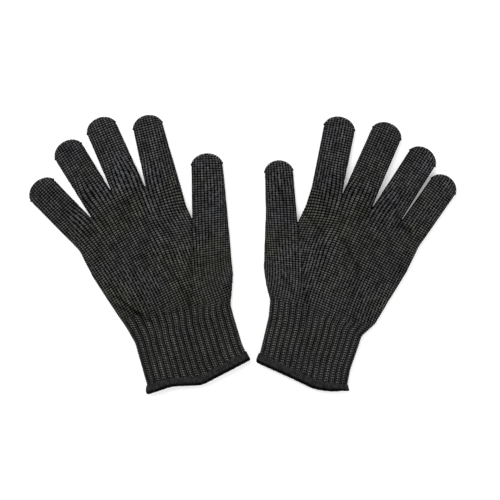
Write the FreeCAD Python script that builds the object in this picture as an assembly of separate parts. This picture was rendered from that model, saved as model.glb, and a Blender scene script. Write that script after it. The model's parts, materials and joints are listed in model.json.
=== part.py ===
"""A pair of knitted cut-resistant gloves, lying flat with their palms up and their fingers spread.

Each glove is one flat knitted tube with five digits. The tube is divided at the folds where a
hand bends, so each digit has its own sections, and the cuff can turn up at the wrist.
Every glove is drawn in its own frame: the origin is the middle of the wrist fold, +X points to
the thumb's side and +Y along the palm to the fingers. A fold's axis lies on the top surface, so
the section beyond it lifts clear of the one before it.
"""
import FreeCAD, Part
import math
import os

# Sizes shared by both gloves, in millimetres
THICKNESS = 11.0       # both walls of a glove lying flat, and the air between them
WALL = 2.0             # the knitted wall
EDGE_BEVEL = 4.0       # how far the rounded side of the tube reaches in over its faces
FOLD_GAP = 0.4         # clearance between two sections at a fold
CROTCH_WIDTH = 1.0     # the blunt bottom of the gap between two fingers
HEM_WIDTH = 7.0        # the overlocked binding at the cuff's mouth
TIP_LENGTH = 11.0      # the round end of a digit, along the digit
TIP_STEPS = 8          # flats round the end of a digit
SEAM_HEIGHT = 1.8      # the seam that closes a fingertip
SEAM_PROUD = 0.8
ELASTIC_COUNT = 5      # elastic yarns laid round the inside of the cuff
ELASTIC_WIDTH = 1.2
ELASTIC_THICKNESS = 0.8
ELASTIC_PITCH = 8.0
MOUTH_RUN_OUT = 12.0   # the hollow runs this far out through the cuff's mouth
CUT_MARGIN = 0.4       # how far a fold's cut runs past the edges of its digit
MIDDLE_FOLD = 0.36     # places of a finger's second and third folds, from its base fold to its tip
TIP_FOLD = 0.68
THUMB_TIP_LENGTH = 24.0
HALF_ROOM = 200.0      # half the side of a block that is larger than a glove

FINGERS = ("small", "ring", "middle", "index")
DIGITS = FINGERS + ("thumb",)

# One entry per glove. A digit is its tip, its lean to the thumb's side in degrees and its width.
# A crotch is named for the digit on its small-finger side. Sides run from the wrist outwards.
RIGHT = {
    "name": "right",
    "thumb_side": 1,
    "wrist_middle": (-54.6, -53.8),
    "turn": 27.0,
    "digits": {
        "small": ((-58.0, 159.5), -16.0, 27.8),
        "ring": ((-21.5, 179.5), -6.5, 27.2),
        "middle": ((14.5, 184.5), 3.0, 27.2),
        "index": ((52.5, 168.0), 12.5, 26.4),
        "thumb": ((84.5, 115.0), 22.5, 27.6),
    },
    "crotches": {
        "small": (-29.0, 111.0),
        "ring": (-3.0, 124.5),
        "middle": (25.0, 113.5),
        "index": (48.5, 71.0),
    },
    "base_folds": {"small": 115.5, "ring": 128.5, "middle": 128.5, "index": 118.0},
    "thumb_fold": ((50.6, 75.4), (78.4, 62.0)),
    "small_side": [(-45.0, 10.5), (-48.0, 35.0), (-51.0, 65.0), (-51.0, 90.0)],
    "index_side": [(49.2, 83.0), (53.0, 103.0)],
    "thumb_side_edge": [(45.0, -10.5), (58.0, 11.0), (69.5, 40.0), (84.0, 76.0)],
    "cuff_small_side": [(-44.5, -3.0), (-48.5, -24.0)],
    "cuff_thumb_side": [(42.5, -22.5), (38.5, -45.0)],
    "hem": [(-55.0, -45.0), (-33.0, -49.0), (-9.0, -60.0), (37.0, -59.5)],
}
LEFT = {
    "name": "left",
    "thumb_side": -1,
    "wrist_middle": (64.9, -53.3),
    "turn": -22.0,
    "digits": {
        "small": ((-60.5, 153.5), -13.5, 25.4),
        "ring": ((-34.5, 169.0), -12.0, 26.6),
        "middle": ((3.5, 177.5), -2.5, 27.2),
        "index": ((45.0, 167.0), 9.0, 27.4),
        "thumb": ((81.5, 112.0), 23.0, 25.0),
    },
    "crotches": {
        "small": (-36.0, 104.5),
        "ring": (-8.5, 105.5),
        "middle": (20.0, 106.5),
        "index": (46.5, 69.0),
    },
    "base_folds": {"small": 109.5, "ring": 110.5, "middle": 111.0, "index": 111.0},
    "thumb_fold": ((48.5, 73.0), (74.9, 65.0)),
    "small_side": [(-42.0, -1.5), (-48.5, 12.0), (-52.5, 38.0), (-57.0, 64.0), (-58.5, 88.0)],
    "index_side": [(45.5, 84.0), (47.0, 102.0)],
    "thumb_side_edge": [(44.0, -2.5), (52.0, 9.0), (59.0, 21.0), (69.0, 49.0), (76.0, 68.0)],
    "cuff_small_side": [(-42.5, -12.0), (-43.5, -32.0)],
    "cuff_thumb_side": [(40.0, -16.0), (35.5, -45.0)],
    "hem": [(-49.0, -48.5), (-20.0, -58.0), (3.0, -56.5), (33.5, -55.0)],
}
GLOVES = (RIGHT, LEFT)


# Flat geometry. A point is (x, y) in a glove's frame, or on the table once it is placed.

def lean_direction(lean):
    angle = math.radians(lean)
    return math.sin(angle), math.cos(angle)


def between(start, end, share):
    """The point a given share of the way from start to end."""
    return tuple(a + (b - a) * share for a, b in zip(start, end))


def on_table(glove, point):
    """Place a point of a glove's frame on the table."""
    angle = math.radians(glove["turn"])
    x = point[0] * glove["thumb_side"]
    y = point[1]
    middle = glove["wrist_middle"]
    placed_x = middle[0] + x * math.cos(angle) - y * math.sin(angle)
    placed_y = middle[1] + x * math.sin(angle) + y * math.cos(angle)
    return placed_x, placed_y


def counter_clockwise(points):
    """The same polygon, ordered counter-clockwise."""
    following = points[1:] + points[:1]
    twice_area = sum(a[0] * b[1] - b[0] * a[1] for a, b in zip(points, following))
    return points if twice_area > 0 else points[::-1]


def inset(points, distance):
    """Move every side of a counter-clockwise polygon inwards by the same distance."""
    moved = []
    for before, here, after in zip(points[-1:] + points[:-1], points, points[1:] + points[:1]):
        normals = []
        for start, end in ((before, here), (here, after)):
            length = math.dist(start, end)
            normals.append(((start[1] - end[1]) / length, (end[0] - start[0]) / length))
        (ax, ay), (bx, by) = normals
        stretch = distance / (1.0 + ax * bx + ay * by)
        moved.append((here[0] + (ax + bx) * stretch, here[1] + (ay + by) * stretch))
    return moved


# The outline of a glove

def digit_end(tip, lean, width):
    """Points round the end of a digit, from its small-finger side to its thumb side."""
    along_x, along_y = lean_direction(lean)
    points = []
    for step in range(TIP_STEPS + 1):
        angle = math.pi * (1.0 - step / TIP_STEPS)
        across = width / 2.0 * math.cos(angle)
        back = TIP_LENGTH * (math.sin(angle) - 1.0)
        points.append((tip[0] + across * along_y + back * along_x,
                       tip[1] - across * along_x + back * along_y))
    return points


def crotch_points(crotch):
    half = CROTCH_WIDTH / 2.0
    return [(crotch[0] - half, crotch[1]), (crotch[0] + half, crotch[1])]


def outline(glove, mouth_run_out=0.0):
    """The outline of a glove on the table, with its mouth moved out by mouth_run_out."""
    digits = glove["digits"]
    crotches = glove["crotches"]
    hem = [(x, y - mouth_run_out) for x, y in glove["hem"]]
    points = hem[:1] + glove["cuff_small_side"][::-1] + glove["small_side"]
    for name in FINGERS:
        points += digit_end(*digits[name])
        if name == "index":
            points += glove["index_side"][::-1]
        points += crotch_points(crotches[name])
    points += digit_end(*digits["thumb"])
    points += glove["thumb_side_edge"][::-1] + glove["cuff_thumb_side"] + hem[:0:-1]
    return counter_clockwise([on_table(glove, point) for point in points])


# Solids

def prism(points, low, high):
    """An upright block with a polygon for its base."""
    base = Part.makePolygon([FreeCAD.Vector(x, y, low) for x, y in points + points[:1]])
    return Part.Face(base).extrude(FreeCAD.Vector(0, 0, high - low))


def pillow(points, low, high, bevel):
    """A flat closed solid, widest half-way up, whose sides slope in to its two faces."""
    middle = (low + high) / 2.0
    narrow = inset(points, bevel)
    rings = [[FreeCAD.Vector(x, y, low) for x, y in narrow],
             [FreeCAD.Vector(x, y, middle) for x, y in points],
             [FreeCAD.Vector(x, y, high) for x, y in narrow]]
    faces = [Part.Face(Part.makePolygon(ring + ring[:1])) for ring in (rings[0], rings[2])]
    for lower, upper in zip(rings, rings[1:]):
        for here in range(len(points)):
            after = (here + 1) % len(points)
            corners = [lower[here], lower[after], upper[after], upper[here], lower[here]]
            faces.append(Part.Face(Part.makePolygon(corners)))
    solid = Part.makeSolid(Part.makeShell(faces))
    if solid.Volume < 0:
        solid.reverse()
    return solid


def hollow(glove, wall):
    """The space inside a glove whose walls are this thick."""
    inner = inset(outline(glove, MOUTH_RUN_OUT), wall)
    return pillow(inner, wall, THICKNESS - wall, EDGE_BEVEL * (1.0 - wall / THICKNESS))


def beyond_hem(glove, rise):
    """The room past a line that lies this far above the cuff's mouth."""
    line = [(x, y + rise) for x, y in glove["hem"]]
    line[0] = (line[0][0] - MOUTH_RUN_OUT, line[0][1])
    line[-1] = (line[-1][0] + MOUTH_RUN_OUT, line[-1][1])
    far = [(line[-1][0], -HALF_ROOM), (line[0][0], -HALF_ROOM)]
    placed = [on_table(glove, point) for point in line + far]
    return prism(counter_clockwise(placed), -1.0, THICKNESS + 1.0)


def shell(glove):
    """The whole knitted tube of a glove, hollow and open at the cuff."""
    skin = pillow(outline(glove, MOUTH_RUN_OUT), 0.0, THICKNESS, EDGE_BEVEL)
    return skin.cut([hollow(glove, WALL), beyond_hem(glove, 0.0)])


# Folds. Each is the line from its small-finger end to its thumb end, in the glove's frame.

def edge_at(start, end, height):
    """The point of a straight edge at this height along the glove."""
    return between(start, end, (height - start[1]) / (end[1] - start[1]))


def finger_fold(glove, name, share):
    """A fold across a finger, at this share of the way from its base fold to its tip."""
    tip, lean, width = glove["digits"][name]
    place = FINGERS.index(name)
    corners = digit_end(tip, lean, width)
    height = glove["base_folds"][name] + share * (tip[1] - glove["base_folds"][name])
    low_side = glove["small_side"][-1]
    if place > 0:
        low_side = crotch_points(glove["crotches"][FINGERS[place - 1]])[1]
    high_side = crotch_points(glove["crotches"][name])[0]
    if name == "index":
        high_side = glove["index_side"][-1]
    return edge_at(low_side, corners[0], height), edge_at(high_side, corners[-1], height)


def thumb_tip_fold(glove):
    """The fold square across the thumb, a set distance from its tip."""
    tip, lean, width = glove["digits"]["thumb"]
    along_x, along_y = lean_direction(lean)
    middle = (tip[0] - THUMB_TIP_LENGTH * along_x, tip[1] - THUMB_TIP_LENGTH * along_y)
    half = width / 2.0 + 1.5
    return ((middle[0] - half * along_y, middle[1] + half * along_x),
            (middle[0] + half * along_y, middle[1] - half * along_x))


def folds(glove):
    """Every fold of a glove, by the name of the section beyond it."""
    lines = {"cuff": (glove["small_side"][0], glove["thumb_side_edge"][0])}
    for name in FINGERS:
        lines[name + "_base"] = finger_fold(glove, name, 0.0)
        lines[name + "_middle"] = finger_fold(glove, name, MIDDLE_FOLD)
        lines[name + "_tip"] = finger_fold(glove, name, TIP_FOLD)
    lines["thumb_base"] = glove["thumb_fold"]
    lines["thumb_tip"] = thumb_tip_fold(glove)
    return {name: tuple(on_table(glove, end) for end in line) for name, line in lines.items()}


def fold_cut(line):
    """The thin slot that parts a tube at a fold."""
    (start_x, start_y), (end_x, end_y) = line
    length = math.dist(*line)
    along_x = (end_x - start_x) / length
    along_y = (end_y - start_y) / length
    half = FOLD_GAP / 2.0
    corners = []
    for end, run_out in ((line[0], -CUT_MARGIN), (line[1], CUT_MARGIN)):
        for side in (half, -half) if run_out < 0 else (-half, half):
            corners.append((end[0] + run_out * along_x - side * along_y,
                            end[1] + run_out * along_y + side * along_x))
    return prism(counter_clockwise(corners), -1.0, THICKNESS + 1.0)


def section_middles(glove):
    """A point near the middle of every section, to tell the cut pieces apart."""
    lines = folds(glove)
    centres = {name: between(start, end, 0.5) for name, (start, end) in lines.items()}
    ends = {name: on_table(glove, glove["digits"][name][0]) for name in DIGITS}
    middles = {"palm": on_table(glove, (0.0, 60.0)), "cuff": on_table(glove, (-5.0, -26.0))}
    for name in FINGERS:
        chain = [centres[name + part] for part in ("_base", "_middle", "_tip")] + [ends[name]]
        for part, start, end in zip(("_base", "_middle", "_tip"), chain, chain[1:]):
            middles[name + part] = between(start, end, 0.5)
    middles["thumb_base"] = between(centres["thumb_base"], centres["thumb_tip"], 0.5)
    middles["thumb_tip"] = between(centres["thumb_tip"], ends["thumb"], 0.5)
    return middles


def sections(glove):
    """The sections of a glove's tube, by name, parted at the folds."""
    cuts = [fold_cut(line) for line in folds(glove).values()]
    pieces = shell(glove).cut(cuts).Solids
    middles = section_middles(glove)
    if len(pieces) != len(middles):
        raise ValueError(f"{glove['name']}: {len(pieces)} pieces for {len(middles)} sections")
    named = {}
    for name, (x, y) in middles.items():
        place = FreeCAD.Vector(x, y, THICKNESS / 2.0)
        named[name] = min(pieces, key=lambda piece: piece.CenterOfMass.distanceToPoint(place))
    return named


# Cuff and fingertip trim

def elastic_yarns(glove):
    """Elastic yarns lying round the inside of the cuff, one loop each."""
    loops = []
    lining = hollow(glove, WALL).cut(hollow(glove, WALL + ELASTIC_THICKNESS))
    (start_x, start_y), (end_x, end_y) = folds(glove)["cuff"]
    turn = math.degrees(math.atan2(end_y - start_y, end_x - start_x))
    if glove["thumb_side"] < 0:
        turn += 180.0
    middle = FreeCAD.Vector(*glove["wrist_middle"], 0)
    for place in range(ELASTIC_COUNT):
        drop = (place + 1) * ELASTIC_PITCH
        band = Part.makeBox(HALF_ROOM, ELASTIC_WIDTH, THICKNESS,
                            FreeCAD.Vector(-HALF_ROOM / 2.0, -drop, 0))
        band.rotate(FreeCAD.Vector(), FreeCAD.Vector(0, 0, 1), turn)
        band.translate(middle)
        loops.append(lining.common(band))
    return Part.makeCompound([solid for loop in loops for solid in loop.Solids])


def tip_seam(glove, name):
    """The seam that closes a digit, a narrow ridge round its end."""
    tip, lean, width = glove["digits"][name]
    end = [on_table(glove, point) for point in digit_end(tip, lean, width)]
    ridge_room = inset(counter_clockwise(end), -SEAM_PROUD)
    low = (THICKNESS - SEAM_HEIGHT) / 2.0
    ridge = prism(ridge_room, low, low + SEAM_HEIGHT)
    along_x, along_y = lean_direction(lean)
    back = TIP_LENGTH - SEAM_PROUD
    base = (tip[0] - back * along_x, tip[1] - back * along_y)
    room = [(base[0] + side * width * along_y + reach * along_x,
             base[1] - side * width * along_x + reach * along_y)
            for side, reach in ((-1, 0), (1, 0), (1, 2 * TIP_LENGTH), (-1, 2 * TIP_LENGTH))]
    placed = counter_clockwise([on_table(glove, point) for point in room])
    kept = ridge.common(prism(placed, low, low + SEAM_HEIGHT))
    return kept.cut(pillow(outline(glove), 0.0, THICKNESS, EDGE_BEVEL))


# The pair

def glove_nodes(glove):
    """Every node of one glove, by name."""
    nodes = sections(glove)
    cuff = nodes["cuff"]
    nodes["cuff"] = cuff.cut(beyond_hem(glove, HEM_WIDTH))
    nodes["hem"] = cuff.common(beyond_hem(glove, HEM_WIDTH))
    nodes["elastic"] = elastic_yarns(glove)
    for name in DIGITS:
        nodes[name + "_seam"] = tip_seam(glove, name)
    return {glove["name"] + "_" + name: shape for name, shape in nodes.items()}


def pair_nodes():
    """Both gloves, with the origin on the table under the middle of the pair."""
    nodes = {}
    for glove in GLOVES:
        nodes.update(glove_nodes(glove))
    box = Part.makeCompound(list(nodes.values())).BoundBox
    shift = FreeCAD.Vector(-box.Center.x, -box.Center.y, 0)
    for shape in nodes.values():
        shape.translate(shift)
    return nodes, shift


def main():
    os.makedirs("parts", exist_ok=True)
    nodes, shift = pair_nodes()
    for name, shape in nodes.items():
        shape.exportStep(f"parts/{name}.step")
        box = shape.BoundBox
        print(f"{name:20s} solids {len(shape.Solids)} volume {shape.Volume:9.1f} "
              f"size {box.XLength:6.1f} {box.YLength:6.1f} {box.ZLength:5.1f}")
    print("shift", round(shift.x, 3), round(shift.y, 3))


if __name__ == "__main__":
    main()
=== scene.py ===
"""The looks of a pair of knitted cut-resistant gloves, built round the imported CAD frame.

Each glove is worked out flat, in its own frame in millimetres: the origin is the middle of the
wrist fold, x points to the thumb's side and y to the fingers. The skin is a set of grids, one
strip for each digit, that run from the cuff to the fingertips. Neighbouring strips share their
edge up to the crotch. A stitch field over the glove says which wale, course and rib each point
lies in. It shapes both the mesh and the yarn's colour.
"""

import json
import math

import bmesh
import bpy
import numpy as np
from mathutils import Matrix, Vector
from mathutils.kdtree import KDTree


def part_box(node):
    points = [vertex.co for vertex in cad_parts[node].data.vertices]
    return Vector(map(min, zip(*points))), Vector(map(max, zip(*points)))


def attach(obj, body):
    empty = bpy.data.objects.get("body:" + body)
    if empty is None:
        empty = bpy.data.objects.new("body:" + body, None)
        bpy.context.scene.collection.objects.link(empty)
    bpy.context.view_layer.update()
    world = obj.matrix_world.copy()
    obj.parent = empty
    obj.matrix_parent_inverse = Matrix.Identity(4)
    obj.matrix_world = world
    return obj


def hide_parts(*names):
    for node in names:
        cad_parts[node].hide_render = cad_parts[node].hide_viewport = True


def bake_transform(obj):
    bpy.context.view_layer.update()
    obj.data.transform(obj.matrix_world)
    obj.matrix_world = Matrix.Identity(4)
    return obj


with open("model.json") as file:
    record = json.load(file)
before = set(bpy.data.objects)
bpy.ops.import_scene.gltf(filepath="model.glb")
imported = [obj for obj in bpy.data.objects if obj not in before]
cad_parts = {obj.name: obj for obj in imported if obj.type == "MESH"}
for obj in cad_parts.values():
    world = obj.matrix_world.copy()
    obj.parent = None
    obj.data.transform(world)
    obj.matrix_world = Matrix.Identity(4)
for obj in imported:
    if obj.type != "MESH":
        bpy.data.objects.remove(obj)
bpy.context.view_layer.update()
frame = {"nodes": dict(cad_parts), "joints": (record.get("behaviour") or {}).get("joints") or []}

MM = 0.001
FINGERS = ("small", "ring", "middle", "index")
DIGITS = FINGERS + ("thumb",)

# Shape of the fabric, in millimetres
MIDDLE_HEIGHT = 4.9      # of the glove's side edge above the table
HALF_THICKNESS = 5.2     # of the laid glove, over and under the side edge
UNDER_SHARE = 0.9        # the side on the table is a little flatter
ROUND = 8.0              # how far in the rounded side reaches
ROUND_BELOW = 14.0       # a strip's side starts to round this far under its crotch
ROUND_OVER = 3.0         # and is fully round this far over it
WALL = 2.0               # the knitted wall
GRID = 0.64              # the mesh's step
CUFF_GRID = 1.05 * GRID  # and down the cuff
STRIP_COLUMNS = 44       # mesh columns across one face of a digit
LINE_STEP = 0.25         # spacing of the points of the outline
LONGEST_GAP = 0.7        # between two of the outline's segments in the frame
STRAIGHT = 0.01          # a corner of the outline turns by more than this, in radians
SETTLE_ROUNDS = 12       # to find where two curves meet
CUFF_SPLIT = 6.0         # where the cuff's fabric starts, above the wrist fold
CUFF_END = 8.0           # the reach below the wrist fold that bend() is given
HEM_WIDTH = 7.0
HEM_ROWS = 12
HEM_PROUD = 0.35
HEM_CORNER = {"right": (2.2, 0.6), "left": (1.8, 3.0)}    # how far it is pulled out and up
BEND_REACH = 6.0         # the reach on each side of a fold that bend() is given
CUFF_LEAN_START = 30.0   # the palm's wales start to lean to the cuff here, going down
FAN_START = 20.0         # and to their digits here, going up
GUSSET_LEAN = 0.52       # of the thumb's wales, from the wrist up
GUSSET_START = 26.0      # the height over which they take that lean
PALM_LEANING = 0.16      # share of the thumb's lean that the palm beside the gusset takes
ELASTIC_DROPS = (8.0, 16.0, 24.0, 32.0, 40.0)   # elastic yarns inside the cuff, under the wrist
TIP_SEAM_REACH = 10.2    # the closing seam runs round the last stretch of a digit
THREAD_PITCH = 2.2       # turns of sewing thread
TUBE_SIDES = 8

# Stitches
WALE = 2.6               # width of a stitch
COURSE = 2.1             # height of a stitch
STITCH_DEPTH = 0.6
RIBS = 17.0              # rib columns across one face of the cuff
RIB_DEPTH = 0.75
RIB_SHARE = 0.56         # of a rib's pitch is raised
RIB_SLANT = 1.5          # courses that a stitch's leg climbs over a rib's pitch
RIBS_FADE = (-1.0, 15.0)  # heights over the wrist fold where the ribs turn into plain knit
SLIT_RATE = 0.36         # slits along the gap between two wales, for each course
# The yarn's colour in the gaps between stitches, darkened by painted shade, and on their tops,
# lightened by painted highlight
YARN_IN_PAINTED_SHADE = 0.0025
YARN_IN_PAINTED_HIGHLIGHT = 0.0725
BUMP_DISTANCE = 0.0004   # metres

# Painted shade, which doesn't come from the lamps: the yarn's colour and specular made darker in
# wrinkles, along the glove's outline, along the gusset's join, on the hem's rolled edge and inside
# the hem
WRINKLE_SHADE = 1.05     # for each millimetre that a wrinkle is deep
EDGE_SHADE = 0.72        # along the glove's outline
JOIN_SHADE = 0.3         # along the join of the thumb's gusset
JOIN_WIDTH = 1.6         # the relief fades out over this distance from the join
HEM_SHADE = 0.88         # on the rolled edge of the hem
INSIDE_SHADE = 0.38      # inside the hem

# Wrinkles in the laid fabric: from, to (in the glove's frame), half width, depth
WRINKLES = {
    "right": (((9.0, 56.0), (14.6, 10.0), 1.5, 0.4), ((14.2, 17.0), (12.8, 1.0), 1.1, 0.95),
              ((-44.5, 46.0), (-23.0, 9.0), 1.1, 1.05), ((-37.0, 25.0), (-19.0, 4.0), 1.0, 0.7),
              ((-45.0, 36.0), (-31.0, 12.0), 0.9, 0.6),
              ((46.2, 70.5), (48.4, 55.0), 1.4, 1.0), ((-17.6, 62.1), (0.9, 60.4), 2.2, 0.4),
              ((0.9, 60.4), (11.2, 52.3), 2.0, 0.45), ((-28.0, 112.0), (-18.0, 100.0), 1.8, 0.7),
              ((4.0, 116.0), (8.0, 103.0), 1.7, 0.6), ((-4.0, 108.0), (14.0, 112.0), 2.4, 0.4)),
    "left": (((47.8, 81.0), (19.3, 70.8), 1.6, 0.5), ((9.0, 74.0), (-23.1, 50.9), 1.5, 0.55),
             ((44.5, 27.0), (23.9, 10.3), 1.6, 0.65), ((76.6, 95.6), (56.6, 75.9), 1.5, 0.7),
             ((-35.9, 104.0), (-50.0, 97.0), 2.2, 0.6), ((14.0, 20.0), (12.8, 7.0), 1.4, 0.8),
             ((-8.0, 117.0), (10.0, 113.0), 2.6, 0.5), ((-30.0, 112.0), (-14.0, 119.0), 2.4, 0.5)),
}


def smoothstep(low, high, value):
    share = np.clip((value - low) / (high - low), 0.0, 1.0)
    return share * share * (3.0 - 2.0 * share)


def unit(vectors):
    return vectors / np.linalg.norm(vectors, axis=-1)[..., None]


def add_object(name, data):
    """A new object of the scene that holds a mesh, a light or a camera."""
    made = bpy.data.objects.new(name, data)
    bpy.context.scene.collection.objects.link(made)
    return made


def joint(name):
    return next(j for j in frame["joints"] if j["name"] == name)


# The rounded side of the tube: a quarter of an ellipse

TURN = np.linspace(0.0, math.pi / 2.0, 240)
SIDE_REACH = ROUND * (1.0 - np.cos(TURN))
SIDE_STEPS = np.hypot(np.diff(SIDE_REACH), np.diff(HALF_THICKNESS * np.sin(TURN)))
SIDE_EXTRA = np.concatenate(([0.0], np.cumsum(SIDE_STEPS))) - SIDE_REACH


def extra_run(reach):
    """How much longer the rounded surface is than flat, from the edge to this far in."""
    return np.interp(reach, SIDE_REACH, SIDE_EXTRA)


def spread(width, columns, rim_start, rim_end):
    """Distances along a row that lie evenly over the surface, with or without rounded ends."""
    flat = width * (1.0 - np.cos(np.linspace(0.0, math.pi, 400))) / 2.0
    far_extra = extra_run(width) - extra_run(width - flat)
    run = flat + rim_start * extra_run(flat) + rim_end * far_extra
    return np.interp(np.linspace(0.0, run[-1], columns + 1), run, flat)


# Lines

def smooth_line(points, longest=7.0, soften=3.5):
    """A smooth dense curve through a polygon's points, with its ends kept."""
    fine = [np.asarray(points[0], float)]
    for end in np.asarray(points, float)[1:]:
        start = fine[-1]
        steps = max(1, int(math.ceil(math.dist(start, end) / longest)))
        fine += [start + (end - start) * (k + 1) / steps for k in range(steps)]
    fine = np.array(fine)
    run = np.concatenate(([0.0], np.cumsum(np.hypot(*np.diff(fine, axis=0).T))))
    gaps = np.diff(run)
    slopes = np.diff(fine, axis=0) / gaps[:, None]
    inner = (slopes[:-1] * gaps[1:, None] + slopes[1:] * gaps[:-1, None])
    inner /= (gaps[1:] + gaps[:-1])[:, None]
    tangents = np.vstack((slopes[:1], inner, slopes[-1:]))
    at = np.linspace(0.0, run[-1], int(run[-1] / LINE_STEP) + 2)
    place = np.clip(np.searchsorted(run, at, side="right") - 1, 0, len(gaps) - 1)
    t = ((at - run[place]) / gaps[place])[:, None]
    gap = gaps[place][:, None]
    curve = ((2 * t**3 - 3 * t**2 + 1) * fine[place]
             + (t**3 - 2 * t**2 + t) * gap * tangents[place]
             + (3 * t**2 - 2 * t**3) * fine[place + 1]
             + (t**3 - t**2) * gap * tangents[place + 1])
    half = int(soften / LINE_STEP)
    padded = np.vstack((2 * curve[:1] - curve[half:0:-1], curve,
                        2 * curve[-1:] - curve[-2:-half - 2:-1]))
    kernel = np.hanning(2 * half + 3)[1:-1]
    kernel /= kernel.sum()
    return np.stack([np.convolve(padded[:, k], kernel, "valid") for k in (0, 1)], axis=-1)


def by_height(curve):
    """x at a height along a curve whose points climb."""
    return lambda y: np.interp(y, curve[:, 1], curve[:, 0])


class Outline:
    """The glove's outline, which tells how far a point lies in from it."""

    def __init__(self, line):
        self.line = line
        self.tree = KDTree(len(line))
        for place, (x, y) in enumerate(line):
            self.tree.insert((x, y, 0.0), place)
        self.tree.balance()

    def nearest(self, points):
        """How far in each point lies, and the unit direction from it out to the edge."""
        flat = points.reshape(-1, 2)
        place = np.array([self.tree.find((x, y, 0.0))[1] for x, y in flat])
        best = np.full(len(flat), 1e9)
        foot = np.zeros_like(flat)
        for before, after in ((-1, 0), (0, 1)):
            start = self.line[np.clip(place + before, 0, len(self.line) - 1)]
            end = self.line[np.clip(place + after, 0, len(self.line) - 1)]
            along = end - start
            size = np.maximum((along**2).sum(1), 1e-12)
            share = np.clip(((flat - start) * along).sum(1) / size, 0.0, 1.0)
            there = start + along * share[:, None]
            far = np.hypot(*(flat - there).T)
            closer = far < best
            best = np.where(closer, far, best)
            foot[closer] = there[closer]
        ahead = self.line[np.clip(place + 2, 0, len(self.line) - 1)]
        behind = self.line[np.clip(place - 2, 0, len(self.line) - 1)]
        tangent = ahead - behind
        tangent /= np.hypot(*tangent.T)[:, None]
        outward = foot - flat
        size = np.hypot(*outward.T)
        near = size < 0.03
        outward[~near] /= size[~near, None]
        outward[near] = np.stack((-tangent[near, 1], tangent[near, 0]), axis=-1)
        return best.reshape(points.shape[:-1]), outward.reshape(points.shape)


# One glove, read from the frame

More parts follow.
